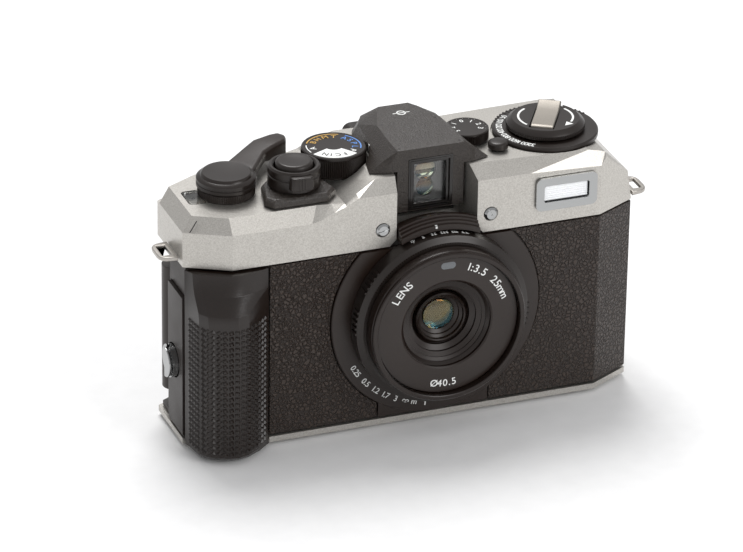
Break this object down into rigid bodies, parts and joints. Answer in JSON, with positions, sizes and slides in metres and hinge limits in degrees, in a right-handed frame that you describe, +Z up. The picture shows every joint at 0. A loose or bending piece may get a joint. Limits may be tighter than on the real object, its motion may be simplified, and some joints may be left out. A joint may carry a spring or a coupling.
{
  "type": "half frame camera",
  "caption": "Compact film camera for upright half frames, with a fixed lens, bright-frame finder, flash, wind lever, rewind crank, dials and a film door.",
  "frame": {"origin": "on the underside of the tripod pad, in the middle of the body's width and depth", "axes": "+X the viewer's right when facing the lens, along the width; the lens looks along -Y; +Z up"},
  "size_m": [0.1368, 0.052, 0.078],
  "materials": {
    "silver_paint": "satin silver paint on pressed alloy",
    "black_paint": "matt black baked enamel",
    "black_anodised": "black anodised aluminium, satin",
    "black_plastic": "moulded black plastic with a fine grain",
    "leatherette": "pebbled black synthetic leather",
    "grip_rubber": "black rubber",
    "chrome": "polished plating",
    "steel": "turned steel",
    "optical_glass": "coated optical glass",
    "clear_window": "clear moulded window",
    "shutter_steel": "blackened spring steel",
    "circuit_board": "green solder mask",
    "white_plastic": "moulded white plastic",
    "battery_brass": "plated brass can"
  },
  "bodies": {
    "root": {"top_cover": "silver_paint", "bottom_cover": "silver_paint", "tripod_socket": "steel", "body_casting": "black_plastic", "hinge_pin": "steel", "leather_left": "leatherette", "leather_right": "leatherette", "mount_plate": "black_paint", "lens_barrel": "black_paint", "shutter_housing": "shutter_steel", "rear_element": "optical_glass", "lens_collar": "black_paint", "finder_hood": "black_paint", "finder_window": "clear_window", "finder_chassis": "black_plastic", "finder_prism": "optical_glass", "eyepiece_lens": "optical_glass", "eyepiece_frame": "grip_rubber", "flash_bezel": "chrome", "flash_window": "clear_window", "flash_reflector": "chrome", "flash_capacitor": "black_plastic", "circuit_board": "circuit_board", "front_screw_left": "steel", "front_screw_right": "steel", "counter_window": "clear_window", "shutter_platform": "black_anodised", "grip": "grip_rubber", "battery": "battery_brass", "strap_lug_left": "chrome", "strap_lug_right": "chrome"},
    "door": {"film_door": "black_paint", "door_window": "clear_window", "memo_holder": "black_plastic", "pressure_spring": "steel", "pressure_plate": "black_paint"},
    "latch": {"door_latch": "steel"},
    "rewind_slider": {"rewind_sleeve": "steel"},
    "rewind_shaft": {"rewind_knob": "black_anodised"},
    "crank": {"rewind_crank": "silver_paint"},
    "speed": {"speed_ring": "black_anodised"},
    "speed_lock": {"speed_lock_button": "black_anodised"},
    "exposure": {"exposure_dial": "black_anodised"},
    "mode": {"mode_dial": "black_anodised"},
    "switch": {"power_switch": "black_anodised"},
    "button": {"shutter_button": "black_anodised"},
    "lever": {"advance_lever": "black_anodised"},
    "spool": {"take_up_spool": "black_plastic"},
    "sprocket": {"film_sprocket": "white_plastic"},
    "counter": {"counter_disc": "white_plastic"},
    "focus": {"focus_ring": "black_anodised"},
    "cell": {"lens_cell": "black_anodised", "name_ring": "black_anodised", "front_element": "optical_glass"},
    "leaf_left": {"shutter_leaf_left": "shutter_steel"},
    "leaf_right": {"shutter_leaf_right": "shutter_steel"},
    "lid": {"battery_lid": "black_plastic"},
    "key": {"battery_key": "chrome"},
    "handle": {"key_handle": "chrome"},
    "rewind_button": {"rewind_release_button": "steel"}
  },
  "joints": [
    {"name": "door_hinge", "type": "hinge", "parent": "root", "child": "door", "pos_m": [-0.0598, 0.0044, 0.028], "axis": [0, 0, 1], "range_deg": [0, 120]},
    {"name": "knob_lift", "type": "slide", "parent": "root", "child": "rewind_slider", "axis": [0, 0, 1], "range_m": [0, 0.01]},
    {"name": "door_latch_lift", "type": "slide", "parent": "root", "child": "latch", "axis": [0, 0, 1], "range_m": [0, 0.0031]},
    {"name": "knob_spin", "type": "hinge", "parent": "rewind_slider", "child": "rewind_shaft", "pos_m": [0.0425, -0.0015, 0.074], "axis": [0, 0, 1], "continuous": true},
    {"name": "crank_fold", "type": "hinge", "parent": "rewind_shaft", "child": "crank", "pos_m": [0.03941, -0.00664, 0.0752], "axis": [0.8572, -0.515, 0], "range_deg": [0, 110]},
    {"name": "speed_turn", "type": "hinge", "parent": "root", "child": "speed", "pos_m": [0.0425, -0.0015, 0.0715], "axis": [0, 0, 1], "range_deg": [-100, 140]},
    {"name": "lock_press", "type": "slide", "parent": "root", "child": "speed_lock", "axis": [0, 0, -1], "range_m": [0, 0.0006], "stiffness_N_per_m": 200},
    {"name": "exposure_turn", "type": "hinge", "parent": "root", "child": "exposure", "pos_m": [0.0206, 0.0003, 0.074], "axis": [0, 0, 1], "range_deg": [-60, 60]},
    {"name": "mode_turn", "type": "hinge", "parent": "root", "child": "mode", "pos_m": [-0.0167, 0.0009, 0.072], "axis": [0, 0, 1], "range_deg": [-120, 120]},
    {"name": "switch_turn", "type": "hinge", "parent": "root", "child": "switch", "pos_m": [-0.0306, -0.0071, 0.073], "axis": [0, 0, 1], "range_deg": [0, 35]},
    {"name": "button_press", "type": "slide", "parent": "root", "child": "button", "axis": [0, 0, -1], "range_m": [0, 0.0015], "stiffness_N_per_m": 300},
    {"name": "lever_wind", "type": "hinge", "parent": "root", "child": "lever", "pos_m": [-0.0473, -0.0014, 0.07], "axis": [0, 0, 1], "range_deg": [0, 130], "stiffness_Nm_per_rad": 0.01},
    {"name": "spool_turn", "type": "hinge", "parent": "root", "child": "spool", "pos_m": [-0.0428, 0.0052, 0.03], "axis": [0, 0, 1], "range_deg": [0, 140]},
    {"name": "sprocket_turn", "type": "hinge", "parent": "root", "child": "sprocket", "pos_m": [-0.023, 0.0092, 0.03], "axis": [0, 0, 1], "range_deg": [0, 190]},
    {"name": "counter_turn", "type": "hinge", "parent": "root", "child": "counter", "pos_m": [-0.0473, -0.0014, 0.0635], "axis": [0, 0, 1], "range_deg": [0, 10]},
    {"name": "focus_turn", "type": "hinge", "parent": "root", "child": "focus", "pos_m": [0.0051, -0.0225, 0.0324], "axis": [0, -1, 0], "range_deg": [0, 60]},
    {"name": "cell_extend", "type": "slide", "parent": "root", "child": "cell", "axis": [0, -1, 0], "range_m": [0, 0.0028]},
    {"name": "leaf_left_open", "type": "hinge", "parent": "root", "child": "leaf_left", "pos_m": [-0.0045, -0.015, 0.0324], "axis": [0, 1, 0], "range_deg": [0, 45], "stiffness_Nm_per_rad": 0.0005},
    {"name": "leaf_right_open", "type": "hinge", "parent": "root", "child": "leaf_right", "pos_m": [0.0147, -0.0143, 0.0324], "axis": [0, 1, 0], "range_deg": [-45, 0]},
    {"name": "lid_slide", "type": "slide", "parent": "root", "child": "lid", "axis": [-1, 0, 0], "range_m": [0, 0.02]},
    {"name": "key_turn", "type": "hinge", "parent": "lid", "child": "key", "pos_m": [-0.0635, -0.005, 0.0225], "axis": [-1, 0, 0], "range_deg": [0, 90]},
    {"name": "handle_fold", "type": "hinge", "parent": "key", "child": "handle", "pos_m": [-0.06545, -0.005, 0.0225], "axis": [0, 0, -1], "range_deg": [0, 80]},
    {"name": "rewind_button_press", "type": "slide", "parent": "root", "child": "rewind_button", "axis": [0, 0, 1], "range_m": [0, 0.001], "stiffness_N_per_m": 200}
  ],
  "couplings": [
    {"joint": "door_latch_lift", "follows": "knob_lift", "ratio": 0.3},
    {"joint": "spool_turn", "follows": "lever_wind", "ratio": 1},
    {"joint": "sprocket_turn", "follows": "lever_wind", "ratio": 1.385},
    {"joint": "counter_turn", "follows": "lever_wind", "ratio": 0.04},
    {"joint": "focus_turn", "follows": "cell_extend", "rad_per_m": 370},
    {"joint": "leaf_right_open", "follows": "leaf_left_open", "ratio": -1}
  ]
}
